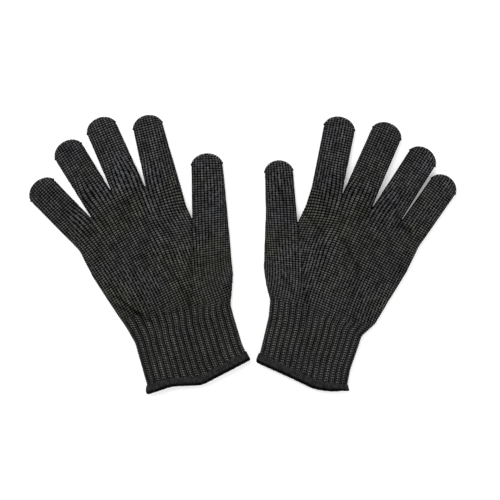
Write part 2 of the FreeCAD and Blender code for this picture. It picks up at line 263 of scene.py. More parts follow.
class Glove:
    """The glove's own frame, with its outline, crotches and folds as lines and points in it."""

    def __init__(self, name, thumb_side):
        self.name = name
        self.side = thumb_side
        square = joint(f"{name}_middle_base_fold")["axis"]
        self.origin = np.array(joint(f"{name}_cuff_fold")["pos_m"][:2]) / MM
        self.x_axis = np.array(square[:2]) * thumb_side
        self.y_axis = np.array((-square[1], square[0]))
        low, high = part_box(f"{name}_palm")
        self.cad_middle = (low.z + high.z) / 2.0
        self.trace()
        self.read_folds()
        self.read_edges()
        self.thumb_crotch = self.crotches[3]
        climb = self.thumb_crotch[1] - CUFF_SPLIT
        self.gusset_foot = self.thumb_crotch[0] - GUSSET_LEAN * climb

    def flat(self, points):
        """Points of the row frame, in metres, as (x, y) in the glove's frame."""
        moved = np.asarray(points, float)[..., :2] / MM - self.origin
        return np.stack((moved @ self.x_axis, moved @ self.y_axis), axis=-1)

    def placed(self, points):
        """Points of the glove's frame, in millimetres, as points of the row frame."""
        table = (self.origin + points[..., :1] * self.x_axis + points[..., 1:2] * self.y_axis)
        return np.concatenate((table, points[..., 2:3]), axis=-1) * MM

    def centre_of(self, section):
        low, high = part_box(f"{self.name}_{section}")
        return self.flat((low + high) / 2.0)

    def side_segments(self, node):
        """The segments along the widest line of a CAD node's outer skin."""
        mesh = frame["nodes"][f"{self.name}_{node}"].data
        points = np.array([v.co for v in mesh.vertices])
        flat = self.flat(points)
        found = []
        for face in mesh.polygons:
            corners = list(face.vertices)
            low_side = points[corners, 2].max() < self.cad_middle + 1e-5
            if low_side and -0.9 < face.normal.z < -0.3:
                ring = [i for i in corners if points[i, 2] > self.cad_middle - 1e-5]
                if len(ring) == 2:
                    found.append((flat[ring[0]], flat[ring[1]]))
        return found

    def trace(self):
        """Joins the nodes' side segments into one outline, from the mouth's small-finger side."""
        sections = [f"{finger}_{part}" for finger in FINGERS for part in ("base", "middle", "tip")]
        nodes = ["palm", "cuff", "hem", "thumb_base", "thumb_tip"] + sections
        by_node = {node: self.side_segments(node) for node in nodes}
        loose = [segment for found in by_node.values() for segment in found]
        hem_ends = [point for segment in by_node["hem"] for point in segment if point[0] < 0]
        line = [min(hem_ends, key=lambda point: point[1])]
        while loose:
            here = line[-1]
            gaps = [min(math.dist(here, a), math.dist(here, b)) for a, b in loose]
            nearest = int(np.argmin(gaps))
            if gaps[nearest] > LONGEST_GAP:
                break
            start, end = loose.pop(nearest)
            line.append(end if math.dist(here, start) < math.dist(here, end) else start)
        corners = [line[0]]
        for here, after in zip(line[1:], line[2:]):
            a, b = here - corners[-1], after - here
            if abs(a[0] * b[1] - a[1] * b[0]) > STRAIGHT * math.hypot(*a) * math.hypot(*b):
                corners.append(here)
        corners = np.array(corners + [line[-1]])
        apexes = []
        for digit in DIGITS:
            fold = self.flat(joint(f"{self.name}_{digit}_tip_fold")["pos_m"])
            ring = np.array([point for pair in by_node[f"{digit}_tip"] for point in pair])
            apex = ring[np.argmax(np.hypot(*(ring - fold).T))]
            apexes.append(int(np.argmin(np.hypot(*(corners - apex).T))))
        self.crotches = []
        spans, start = [], [corners[0]]
        first = 1
        for before, after in zip(apexes, apexes[1:]):
            lowest = before + int(np.argmin(corners[before:after, 1]))
            pair = [k for k in range(lowest - 2, lowest + 3)
                    if corners[k, 1] < corners[lowest, 1] + 0.05]
            crotch = corners[pair].mean(0)
            self.crotches.append(crotch)
            spans.append(np.array(start + list(corners[first:pair[0]]) + [crotch]))
            start, first = [crotch], pair[-1] + 1
        spans.append(np.array(start + list(corners[first:])))
        self.spans = [smooth_line(span) for span in spans]
        self.outline = Outline(np.vstack(self.spans))

    def read_folds(self):
        """Where the folds and the cuff's mouth are, and how they slope."""
        self.folds = {}
        self.fold_axes = {}
        for found in frame["joints"]:
            if found["type"] == "hinge" and found["child"].startswith(self.name + "_"):
                key = found["child"][len(self.name) + 1:]
                self.folds[key] = self.flat(found["pos_m"])
                axis = np.array(found["axis"][:2])
                self.fold_axes[key] = np.array((axis @ self.x_axis, axis @ self.y_axis))
        axis = self.fold_axes["cuff"]
        self.wrist_slope = axis[1] / axis[0]
        mesh = frame["nodes"][f"{self.name}_hem"].data
        found = []
        for face in mesh.polygons:
            normal = np.array(face.normal)[:2]
            if abs(face.normal.z) < 0.1 and normal @ self.y_axis < -0.7:
                found += [tuple(np.round(self.flat(mesh.vertices[i].co), 2)) for i in face.vertices]
        mouth = sorted(set(found))
        spaced = [mouth[0]] + [p for q, p in zip(mouth, mouth[1:]) if p[0] - q[0] > 0.05]
        mouth = smooth_line(spaced, soften=9.0)
        self.mouth_at = by_height(mouth[:, ::-1])
        middle = 0.5 * (spaced[0][0] + spaced[-1][0])
        self.cuff_lean = middle / float(self.mouth_at(middle))

    def way_up(self, digit):
        """The unit direction along a digit, from its base fold to its tip fold."""
        turn = self.folds[f"{digit}_tip"] - self.folds[f"{digit}_base"]
        return turn / np.hypot(*turn)

    def finger_bases(self):
        return np.array([self.folds[f"{finger}_base"] for finger in FINGERS])

    def off_join(self, points):
        """How far points lie from the line that joins the thumb's gusset to the palm."""
        foot = np.array((self.gusset_foot, CUFF_SPLIT))
        along = self.thumb_crotch - foot
        share = np.clip(((points - foot) @ along) / (along @ along), 0.0, 1.0)
        return np.hypot(*np.moveaxis(points - foot - share[..., None] * along, -1, 0))

    def read_edges(self):
        """The sides of each finger and of the whole glove, as x at a height.

        The thumb's sides are across its own direction.
        """
        self.left, self.right, self.top = {}, {}, {}
        outer = self.spans[-1]
        self.thumb_up = self.way_up("thumb")
        self.thumb_across = np.array((self.thumb_up[1], -self.thumb_up[0]))
        turned = np.stack((outer @ self.thumb_across, outer @ self.thumb_up), axis=-1)
        for name, curve in zip(DIGITS, self.spans[:-1] + [turned]):
            top = int(np.argmax(curve[:, 1]))
            self.left[name] = by_height(curve[:top + 1])
            self.right[name] = by_height(curve[top:][::-1])
            self.top[name] = curve[top, 1]
        self.thumb_edge = by_height(outer[int(np.argmax(outer[:, 1])):][::-1])


def wrist_line(glove, x, rise):
    """The height of the wrist fold at x, moved up by rise."""
    return glove.wrist_slope * x + rise


# Rows of the strips

def palm_boundaries(glove):
    """Each strip's edges under its crotches, as x at a height: from a crotch to the wrist."""
    low_left = glove.left["small"](CUFF_SPLIT)
    wrist = np.linspace(low_left, glove.gusset_foot, 5)
    return [by_height(np.array([(foot, CUFF_SPLIT), crotch]))
            for crotch, foot in zip(glove.crotches, wrist[1:])]


def on_row(edge, height, slope):
    """Where an edge meets a row that starts at this height and slopes."""
    x = edge(height)
    for _ in range(SETTLE_ROUNDS):
        x = edge(height + slope * x)
    return np.array((x, height + slope * x))


def levels(start, end, rounded_end=False):
    """Heights from start to end, closer together near a rounded end."""
    steps = max(1, int(round((end - start) / GRID)))
    if rounded_end:
        steps += int(round(extra_run(ROUND) / GRID))
    return start + spread(end - start, steps, 0.0, float(rounded_end))


def row_of(start, end, columns, rim_start, rim_end):
    """Points of one row, spread evenly over the surface."""
    width = max(math.dist(start, end), 1e-6)
    share = spread(width, columns, rim_start, rim_end) / width
    return start + (end - start) * share[:, None]


def rounded(crotch, height):
    """How fully a strip's side is rounded at a height, as it comes free at a crotch."""
    return float(smoothstep(crotch - ROUND_BELOW, crotch + ROUND_OVER, height))


def palm_levels(glove):
    """The heights of the palm's rows, with one through every crotch."""
    stops = sorted({CUFF_SPLIT} | {round(y, 6) for _, y in glove.crotches})
    heights = [stops[0]]
    for low, high in zip(stops, stops[1:]):
        heights += list(levels(low, high)[1:])
    return np.array(heights)


def palm_strips(glove):
    """Rows of the palm's strips, and of the cuff's first row."""
    heights = palm_levels(glove)
    thumb_crotch = glove.thumb_crotch
    slopes = glove.wrist_slope * (1.0 - smoothstep(CUFF_SPLIT, thumb_crotch[1] - 8.0, heights))
    inner = palm_boundaries(glove)
    strips = {}
    for place, name in enumerate(FINGERS):
        low_crotch = glove.crotches[place - 1][1] if place else -1e9
        high_crotch = glove.crotches[place][1]
        top = max(low_crotch, high_crotch) if name != "index" else low_crotch
        rows = []
        for height, slope in zip(heights, slopes):
            if height > top + 1e-4:
                break
            left_free = height > low_crotch + 1e-4
            right_free = height > high_crotch + 1e-4
            left_edge = glove.left[name] if left_free else inner[place - 1]
            right_edge = glove.right[name] if right_free else inner[place]
            start = on_row(left_edge, height, slope)
            end = on_row(right_edge, height, slope)
            rim_start, rim_end = rounded(low_crotch, height), rounded(high_crotch, height)
            rows.append(row_of(start, end, STRIP_COLUMNS, rim_start, rim_end))
        strips[name] = np.array(rows)
    gusset = strips["index"][:, -1]
    last = int(np.argmin(abs(heights - thumb_crotch[1])))
    crotch_up = thumb_crotch @ glove.thumb_up
    top_right = glove.right["thumb"](crotch_up)
    corner = top_right * glove.thumb_across + crotch_up * glove.thumb_up
    low_right = on_row(glove.thumb_edge, CUFF_SPLIT, glove.wrist_slope)
    rows = []
    for k in range(last + 1):
        y = low_right[1] + (corner[1] - low_right[1]) * k / last
        end = np.array((glove.thumb_edge(y), y))
        if k == last:
            end = corner
        rows.append(row_of(gusset[k], end, STRIP_COLUMNS, rounded(0.0, (k - last) * GRID), 1.0))
    strips["thumb"] = np.array(rows)
    return strips


def digit_rows(glove, name, first_row):
    """Rows of a free digit, from the palm strip's last row to its tip."""
    if name == "thumb":
        across, up = glove.thumb_across, glove.thumb_up
    else:
        across, up = np.array((1.0, 0.0)), np.array((0.0, 1.0))
    start_height = float(first_row[0] @ up)
    heights = levels(start_height, float(glove.top[name]), rounded_end=True)
    rows = [first_row]
    for height in heights[1:-1]:
        start = glove.left[name](height) * across + height * up
        end = glove.right[name](height) * across + height * up
        rim = rounded(start_height, height)
        rim_start = 1.0 if name == "small" else rim
        rim_end = 1.0 if name == "thumb" else rim
        rows.append(row_of(start, end, STRIP_COLUMNS, rim_start, rim_end))
    tip = glove.left[name](heights[-1]) * across + heights[-1] * up
    rows.append(np.repeat(tip[None], STRIP_COLUMNS + 1, axis=0))
    return np.array(rows)


def even_shares(row):
    """Shares of a row's width that lie evenly over the surface, with both ends rounded."""
    width = row[-1, 0] - row[0, 0]
    return spread(width, len(row) - 1, 1.0, 1.0) / width


def cuff_rows(glove, strips):
    """Rows from the palm's first row down to the top of the hem."""
    top_row = np.vstack([strips[name][0][(0 if name == "small" else 1):] for name in DIGITS])
    own = (top_row[:, 0] - top_row[0, 0]) / (top_row[-1, 0] - top_row[0, 0])
    even = even_shares(top_row)
    depth = CUFF_SPLIT - HEM_WIDTH - float(glove.mouth_at(0.0))
    rows = []
    for share in np.linspace(0.0, 1.0, int(depth / CUFF_GRID)):
        mixed = own + (even - own) * smoothstep(0.0, 0.45, share)
        rows.append(row_over_cuff(glove, top_row[:, 0], mixed, share, HEM_WIDTH))
    rows[0] = top_row
    return np.array(rows)


def row_over_cuff(glove, x, shares, depth_share, mouth_rise):
    """A row this share of the way from the cuff's start to a line above the mouth."""
    left, right = glove.left["small"], glove.thumb_edge
    for _ in range(SETTLE_ROUNDS):
        high = wrist_line(glove, x, CUFF_SPLIT)
        y = high + (glove.mouth_at(x) + mouth_rise - high) * depth_share
        x = left(y) + (right(y) - left(y)) * shares
    return np.stack((x, y), axis=-1)


def hem_rows(glove, first_row):
    """Rows over the hem, from the cuff's last row to the mouth."""
    even = even_shares(first_row)
    rows = [row_over_cuff(glove, first_row[:, 0], even, 1.0, rise)
            for rise in np.linspace(HEM_WIDTH, 0.0, HEM_ROWS + 1)]
    rows[0] = first_row
    return np.array(rows)


# The skin over those rows

def swell(glove, x, y):
    """Slow unevenness of the upper face: four waves of falling height and length."""
    lift = 0.34 * np.sin(x / 17.0 + 0.6 + glove.side) * np.sin(y / 23.0 + 1.1)
    lift += 0.26 * np.sin(x / 9.5 - y / 12.0 + 2.0 * glove.side)
    lift += 0.20 * np.sin(x / 6.1 + y / 7.4 + 0.7)
    lift += 0.14 * np.sin(x / 3.1 - y / 11.0 + 1.9 * glove.side) * np.sin(y / 15.0 + 0.4)
    return lift


def wrinkles(glove, x, y):
    """How deep the wrinkles are at each point, in millimetres, with their raised sides."""
    sunk = np.zeros_like(x)
    raised = np.zeros_like(x)
    for (x0, y0), (x1, y1), width, depth in WRINKLES[glove.name]:
        long = math.dist((x0, y0), (x1, y1))
        along_x, along_y = (x1 - x0) / long, (y1 - y0) / long
        run = (x - x0) * along_x + (y - y0) * along_y
        off = (x - x0) * along_y - (y - y0) * along_x + 0.9 * np.sin(run / 5.0 + x0)
        taper = smoothstep(0.0, 0.3 * long, run) * smoothstep(0.0, 0.3 * long, long - run)
        sunk += depth * taper * np.exp(-(off / width)**2)
        raised += 0.35 * depth * taper * np.exp(-((abs(off) - 2.1 * width) / width)**2)
    return sunk, raised


class Skin:
    """Both faces of the fabric over some rows: places, outward normals, and the stitch field with
    the painted shade.
    """

    def __init__(self, glove, strip, rows):
        self.glove = glove
        self.rows = rows
        reach, outward = glove.outline.nearest(rows)
        reach = np.where(reach < 0.02, 0.0, reach)
        inside = np.clip(reach / ROUND, 0.0, 1.0)
        arch = np.sqrt(np.maximum(0.0, 1.0 - (1.0 - inside)**2))
        unrolled = rows + outward * (extra_run(ROUND) - extra_run(reach))[..., None]
        x, y = rows[..., 0], rows[..., 1]
        sunk, raised = wrinkles(glove, x, y)
        off_join = glove.off_join(rows)
        # Painted shade in the wrinkles, and painted light on their raised sides.
        shade = np.exp(-WRINKLE_SHADE * sunk) * (1.0 + 0.35 * raised)
        # Painted shade along the glove's outline.
        shade *= 1.0 - EDGE_SHADE * np.exp(-(reach / 0.8)**2)
        # Painted shade along the groove at the gusset's join.
        shade *= 1.0 - JOIN_SHADE * np.exp(-(off_join / 1.1)**2)
        self.joined = 1.0 - smoothstep(0.0, JOIN_WIDTH, off_join)
        field = stitch_field(glove, strip, unrolled)
        # The field's last number is the painted shade.
        self.field = np.concatenate((field, shade[..., None]), axis=-1)
        self.faces = {}
        uneven = (swell(glove, x, y) + raised - sunk) * inside * inside
        sideways = ((1.0 - inside) / ROUND)[..., None] * outward
        for name, sign, half, lift in (("upper", 1.0, HALF_THICKNESS, uneven),
                                       ("under", -1.0, HALF_THICKNESS * UNDER_SHARE, 0.0)):
            z = MIDDLE_HEIGHT + sign * half * arch + lift
            normal = np.concatenate((sideways, (sign * arch / half)[..., None]), axis=-1)
            self.faces[name] = np.concatenate((rows, z[..., None]), axis=-1), unit(normal)

    def raised(self, name):
        """One face's points with the stitches' relief, which ends at the gusset's join."""
        points, normal = self.faces[name]
        height = relief(self.field)
        height += (-0.6 * STITCH_DEPTH - height) * self.joined
        return points + normal * height[..., None]


def palm_stitches(glove, strip, x, y):
    """Wale and course in the palm and the cuff, whose wales fan out to the digits."""
    drop = np.maximum(0.0, CUFF_LEAN_START - y)
    bend = glove.cuff_lean * np.where(y > 0, drop**2 / (2.0 * CUFF_LEAN_START),
                                      CUFF_LEAN_START / 2.0 - y)
    bases = glove.finger_bases()
    leans = [way[0] / way[1] for way in map(glove.way_up, FINGERS)]
    lean = np.interp(x, bases[:, 0], leans)
    low, high = FAN_START, float(bases[:, 1].mean())
    climb = np.clip((y - low) / (high - low), 0.0, 1.0)
    fanned = (high - low) * climb**2 / 2.0 + np.maximum(0.0, y - high)
    rise = np.maximum(0.0, y - CUFF_SPLIT)
    leaned = np.clip(rise / GUSSET_START, 0.0, 1.0)
    thumb_run = GUSSET_START * leaned**2 / 2.0 + np.maximum(0.0, rise - GUSSET_START)
    crotch = glove.thumb_crotch[1]
    inside = x - glove.gusset_foot
    if strip == "thumb":
        leaning = 0.8 + 0.2 * np.clip((inside - GUSSET_LEAN * rise) / 25.0, 0.0, 1.0)
    else:
        leaning = PALM_LEANING * smoothstep(-9.0, 9.0, inside)
        leaning = leaning * (1.0 - smoothstep(crotch - 20.0, crotch + 18.0, y))
    shift = lean * fanned + (GUSSET_LEAN * thumb_run - lean * fanned) * leaning
    wale = (x + bend - shift) / WALE
    above = 1.0 - smoothstep(crotch, crotch + 40.0, y)
    across = np.maximum(0.0, inside) * leaned * (1.0 if strip == "thumb" else above)
    course = (y + 0.0012 * x**2 + 0.22 * across) / COURSE
    return wale, course


def pulled_apart(glove, strip, x, y):
    """How far the wales are pulled apart, from 0 to 1: most across the fingers' base folds."""
    if strip == "thumb":
        return np.zeros_like(x)
    bases = glove.finger_bases()
    past = y - np.interp(x, bases[:, 0], bases[:, 1])
    palm_side = np.exp(-((y - 34.0) / 20.0)**2) * (1.0 - smoothstep(-30.0, 25.0, x))
    return np.maximum(np.exp(-((past + 2.0) / 17.0)**2), 0.6 * palm_side)


def stitch_field(glove, strip, points):
    """Wale, course, style, rib column and rib course at each point.

    The style is 1 for ribs and 0 for plain knit, down to -1 where that is pulled apart.
    """
    x, y = points[..., 0], points[..., 1]
    wale, course = palm_stitches(glove, strip, x, y)
    if strip != "cuff":
        base = glove.folds[f"{strip}_base"]
        up = glove.way_up(strip)
        across = np.array((up[1], -up[0]))
        place = DIGITS.index(strip)
        crotch = max(found[1] for found in glove.crotches[max(0, place - 1):place + 1])
        meet = crotch * up[1] + base[0] * up[0] + 6.0
        middle = base + up * (meet - base @ up)
        middle_wale, middle_course = palm_stitches(glove, strip, middle[0], middle[1])
        away = points - middle
        share = smoothstep(crotch, crotch + (42.0 if strip == "thumb" else 28.0), y)
        wale = wale + (away @ across / WALE + middle_wale - wale) * share
        course = course + (away @ up / COURSE + middle_course - course) * share
    height = y - wrist_line(glove, x, 0.0)
    ribbed = 1.0 - smoothstep(*RIBS_FADE, height + 0.1 * x)
    left, right = glove.left["small"](y), glove.thumb_edge(y)
    half = (right - left) / 2.0 + extra_run(ROUND)
    column = (x - (left + right) / 2.0) / half * RIBS / 2.0 + 0.5
    style = ribbed - (1.0 - ribbed) * pulled_apart(glove, strip, x, y)
    return np.stack((wale, course, style, column, height / COURSE), axis=-1)


def relief(field):
    """How far the surface lies under the tops of the stitches, as a negative height."""
    wale, course, style, column, rib_course = np.moveaxis(field, -1, 0)[:5]
    ribbed = np.maximum(0.0, style)
    across = wale - np.floor(wale) - 0.5
    dome = np.cos(math.pi * across)
    bump = 0.5 + 0.5 * np.cos(2.0 * math.pi * (course + 0.5 * abs(across)))
    plain = STITCH_DEPTH * (dome * (0.45 + 0.55 * bump) - 1.0)
    place = column - np.floor(column)
    raised = smoothstep(0.0, 0.16, place) * (1.0 - smoothstep(RIB_SHARE, RIB_SHARE + 0.2, place))
    leg = abs(place - RIB_SHARE / 2.0)
    slant = 0.5 + 0.5 * np.cos(2.0 * math.pi * (rib_course + RIB_SLANT * leg))
    parted = 0.25 * np.exp(-(leg / 0.07)**2)
    rib = RIB_DEPTH * (raised - 1.0) - raised * (0.45 * (1.0 - slant) + parted)
    return plain + (rib - plain) * ribbed


# Meshes

def grid_faces(rows, columns, flipped):
    """Corner indices of the quads of a grid of points."""
    here = (np.arange(rows - 1)[:, None] * columns + np.arange(columns - 1)[None]).ravel()
    quads = np.stack((here, here + 1, here + columns + 1, here + columns), axis=-1)
    return quads[:, ::-1] if flipped else quads


def knit_mesh(glove, name, patches, material):
    """One piece of several grids of points with their stitch fields, welded where they meet."""
    points, quads, fields = [], [], []
    count = 0
    for grid, field, flipped in patches:
        rows, columns = grid.shape[:2]
        quads.append(grid_faces(rows, columns, flipped != (glove.side < 0)) + count)
        points.append(glove.placed(grid).reshape(-1, 3))
        fields.append(field.reshape(-1, field.shape[-1]))
        count += rows * columns
    points, quads, fields = map(np.concatenate, (points, quads, fields))
    mesh = bpy.data.meshes.new(f"{glove.name}_{name}")
    mesh.from_pydata(points.tolist(), [], quads.tolist())
    corner = quads.ravel()
    # The rib attribute's third number carries the painted shade.
    for layer, parts in (("stitch", (0, 1, 2)), ("rib", (3, 4, 5))):
        attribute = mesh.attributes.new(layer, "FLOAT_VECTOR", "CORNER")
        values = fields[corner][:, list(parts)].astype(np.float32)
        attribute.data.foreach_set("vector", values.ravel())
    work = bmesh.new()
    work.from_mesh(mesh)
    bmesh.ops.remove_doubles(work, verts=work.verts, dist=4e-6)
    bmesh.ops.dissolve_degenerate(work, edges=work.edges, dist=1e-6)
    work.to_mesh(mesh)
    work.free()
    for face in mesh.polygons:
        face.use_smooth = True
    mesh.materials.append(material)
    return add_object(mesh.name, mesh)


def two_faces(skin, rows=slice(None)):
    """The upper and under grids of a skin, with the stitches on them."""
    field = skin.field[rows]
    return [(skin.raised("upper")[rows], field, False), (skin.raised("under")[rows], field, True)]


# Materials

class Nodes:
    """A material's node tree, with short ways to add nodes to it."""

    def __init__(self, name):
        self.material = bpy.data.materials.new(name)
        self.material.use_nodes = True
        self.tree = self.material.node_tree
        self.shader = self.tree.nodes["Principled BSDF"]

    def add(self, kind, inputs=(), **settings):
        node = self.tree.nodes.new(kind)
        for key, value in settings.items():
            setattr(node, key, value)
        for key, value in dict(inputs).items():
            self.put(node.inputs[key], value)
        return node

    def put(self, socket, value):
        if isinstance(value, bpy.types.NodeSocket):
            self.tree.links.new(value, socket)
        else:
            socket.default_value = value

    def maths(self, operation, *values):
        node = self.add("ShaderNodeMath", operation=operation)
        for socket, value in zip(node.inputs, values):
            self.put(socket, value)
        return node.outputs[0]

    def times(self, first, *others):
        for other in others:
            first = self.maths("MULTIPLY", first, other)
        return first

    def wave(self, turns):
        """From 1 on whole turns to 0 on half turns."""
        return self.maths("MULTIPLY_ADD", self.maths("COSINE", self.times(turns, 2.0 * math.pi)),
                          0.5, 0.5)

    def off(self, value, middle):
        return self.maths("ABSOLUTE", self.maths("SUBTRACT", value, middle))

    def parts(self, attribute):
        """The three numbers of a mesh attribute."""
        read = self.add("ShaderNodeAttribute", attribute_name=attribute).outputs["Vector"]
        return self.add("ShaderNodeSeparateXYZ", {0: read}).outputs

    def surface(self, inputs):
        for key, value in inputs.items():
            self.put(self.shader.inputs[key], value)

    def colour(self, tint, value):
        scaled = self.add("ShaderNodeVectorMath", {0: tint, "Scale": value}, operation="SCALE")
        self.surface({"Base Color": scaled.outputs[0]})

    def bump(self, height, strength):
        node = self.add("ShaderNodeBump",
                        {"Height": height, "Strength": strength, "Distance": BUMP_DISTANCE})
        self.surface({"Normal": node.outputs[0]})

    def mix(self, share, low, high):
        """Between two numbers."""
        return self.add("ShaderNodeMix", {0: share, 2: low, 3: high}).outputs[0]

    def mix_colours(self, share, low, high):
        node = self.add("ShaderNodeMix", {0: share, 6: low, 7: high}, data_type="RGBA")
        return node.outputs[2]

    def remap(self, value, low, high, new_low=0.0, new_high=1.0):
        inputs = {0: value, 1: low, 2: high, 3: new_low, 4: new_high}
        node = self.add("ShaderNodeMapRange", inputs, interpolation_type="SMOOTHSTEP")
        return node.outputs[0]

    def noise(self, scale, detail=2.0, vector=None):
        if vector is None:
            vector = self.add("ShaderNodeTexCoord").outputs["Object"]
        inputs = {"Scale": scale, "Detail": detail, "Vector": vector}
        return self.add("ShaderNodeTexNoise", inputs).outputs["Fac"]


def plain_crest(n, wale, course, style):
    """How high the plain knit's yarn stands: V-shaped stitches, with slits where pulled apart."""
    across = n.off(n.maths("FRACT", wale), 0.5)
    dome = n.maths("COSINE", n.times(across, math.pi))
    bump = n.wave(n.maths("MULTIPLY_ADD", across, 0.5, course))
    parted = n.remap(across, 0.0, 0.16, 0.6, 1.0)
    apart = n.maths("MAXIMUM", n.times(style, -1.0), 0.0)
    pulled = n.remap(n.maths("MULTIPLY_ADD", apart, 0.16, n.noise(50.0, 2.0)), 0.48, 0.68)
    gap = n.times(n.maths("FLOOR", n.maths("ADD", wale, 0.5)), 0.5)
    shifted = n.maths("MULTIPLY_ADD", n.noise(150.0, 1.0), 2.0, gap)
    slit = n.wave(n.maths("MULTIPLY_ADD", course, SLIT_RATE, shifted))
    narrow = n.mix(pulled, 0.9, n.mix(slit, 0.8, 2.6))
    bumpy = n.mix(bump, n.mix(pulled, 0.2, 0.5), 1.0)
    return n.times(n.maths("POWER", dome, narrow), bumpy, parted)


def rib_crest(n, column, rib_course):
    """The same for the ribs: two legs of yarn on each rib, and a sunk column between ribs."""
    place = n.maths("FRACT", column)
    falls = n.remap(place, RIB_SHARE, RIB_SHARE + 0.14, 1.0, 0.0)
    raised = n.times(n.remap(place, 0.0, 0.12), falls)
    leg = n.off(place, RIB_SHARE / 2.0)
    slant = n.wave(n.maths("MULTIPLY_ADD", leg, RIB_SLANT, rib_course))
    slant = n.times(slant, n.remap(leg, 0.0, 0.09, 0.1, 1.0))
    sunk = n.remap(n.off(place, 0.8), 0.03, 0.13, 0.42, 0.18)
    return n.mix(raised, sunk, n.mix(slant, 0.03, 1.08))


def knit_material(name, tint, cool, brightness=1.0):
    """Charcoal yarn with fine steel wire, knitted plain, or in ribs where the fabric is ribbed."""
    n = Nodes(name)
    wale, course, style = n.parts("stitch")
    # The rib attribute's third number is the painted shade.
    column, rib_course, shade = n.parts("rib")
    ribbed = n.maths("MAXIMUM", style, 0.0)
    crest = n.mix(ribbed, plain_crest(n, wale, course, style), rib_crest(n, column, rib_course))
    # The stitches' height also sets the colour: painted shade in the gaps and slits, painted
    # highlight on the tops, round the yarn's own charcoal.
    light = n.remap(crest, 0.17, 0.95)
    fibre = n.noise(2600.0, 2.0)

    # Random brightness for each stitch: random tone, and painted glints of the steel wire.
    cell = n.add("ShaderNodeCombineXYZ", {0: n.maths("FLOOR", wale), 1: n.maths("FLOOR", course)})
    glint_and_tone_chance = n.add("ShaderNodeTexWhiteNoise", {"Vector": cell.outputs[0]}).outputs["Value"]
    dots = n.remap(n.noise(420.0, 2.0), 0.35, 0.65, 0.7, 1.3)
    along = n.add("ShaderNodeCombineXYZ", {0: n.times(n.maths("FLOOR", wale), 7.3),
                                           1: n.times(course, 0.11)})
    varied_with_glints = n.times(n.mix(ribbed, n.remap(glint_and_tone_chance, 0.0, 1.0, 0.62, 1.4), dots),
                     n.remap(n.noise(38.0, 3.0), 0.3, 0.7, 0.88, 1.13),
                     n.remap(fibre, 0.3, 0.7, 0.75, 1.25),
                     n.remap(n.noise(1.0, 1.0, along.outputs[0]), 0.3, 0.7, 0.78, 1.24))
    value = n.mix(light, YARN_IN_PAINTED_SHADE * brightness, YARN_IN_PAINTED_HIGHLIGHT * brightness)
    patches = n.remap(n.noise(26.0, 1.0), 0.4, 0.6)
    n.colour(n.mix_colours(patches, (*tint, 1.0), (*cool, 1.0)), n.times(value, varied_with_glints, shade))

    wire = n.remap(fibre, 0.62, 0.7)
    n.surface({"Roughness": n.mix(wire, 0.62, 0.38), "Metallic": n.times(wire, 0.35),
               "Specular IOR Level": n.times(shade, n.mix(light, 0.0, 0.2)),
               "Sheen Weight": n.times(light, 0.02), "Sheen Roughness": 0.45})
    n.bump(n.maths("MULTIPLY_ADD", fibre, 0.25, crest), 0.55)
    return n.material


def thread_material(name, value):
    """Matte black thread lying in fine turns."""
    n = Nodes(name)
    loops, turn, _ = n.parts("stitch")
    wave = n.wave(n.maths("MULTIPLY_ADD", turn, 1.6, loops))
    fibre = n.noise(2200.0, 2.0)
    wave = n.times(wave, n.remap(n.noise(420.0, 2.0), 0.35, 0.65, 0.35, 1.0))
    # The rib attribute's third number brings in the hem's painted shade.
    shade = n.times(n.remap(wave, 0.0, 0.9, 0.3, 1.7), n.remap(fibre, 0.3, 0.7, 0.7, 1.3),
                    n.parts("rib")[2])
    n.colour((value, value, value * 0.98), shade)
    n.surface({"Roughness": 0.7, "Specular IOR Level": n.times(shade, 0.1)})
    n.bump(n.maths("MULTIPLY_ADD", fibre, 0.3, wave), 0.5)
    return n.material


BODY_KNIT = knit_material("body_knit", (1.02, 1.01, 0.9), (0.99, 0.99, 0.99))
DIGIT_KNIT = knit_material("digit_knit", (1.0, 0.99, 0.97), (0.97, 0.98, 1.06))
RIB_KNIT = knit_material("rib_knit", (1.01, 1.01, 0.93), (0.99, 1.0, 0.99), 0.9)
HEM_THREAD = thread_material("hem_thread", 0.017)
SEAM_THREAD = thread_material("seam_thread", 0.016)
ELASTIC_YARN = thread_material("elastic_yarn", 0.03)


# Pieces

def bend(piece, glove, parent, child, before, after):
    """Works out the ends of the stretch over the fold between two sections, which are not used, and
    bakes the piece's transform into its mesh.
    """
    fold, axis = glove.folds[child], glove.fold_axes[child]
    square = np.array((-axis[1], axis[0]))
    if square @ (fold - glove.centre_of(parent)) < 0:
        square = -square
    ends = [np.append(fold + square * reach, MIDDLE_HEIGHT) for reach in (-before, after)]
    start, end = (Vector(glove.placed(point)) for point in ends)
    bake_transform(piece)


def finish_piece(piece, slot, *nodes):
    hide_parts(*nodes)


def make_palm(glove, strips):
    patches = [patch for name, rows in strips.items()
               for patch in two_faces(Skin(glove, name, rows))]
    piece = knit_mesh(glove, "palm_knit", patches, BODY_KNIT)
    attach(piece, f"{glove.name}_palm")
    finish_piece(piece, "body_knit", f"{glove.name}_palm")


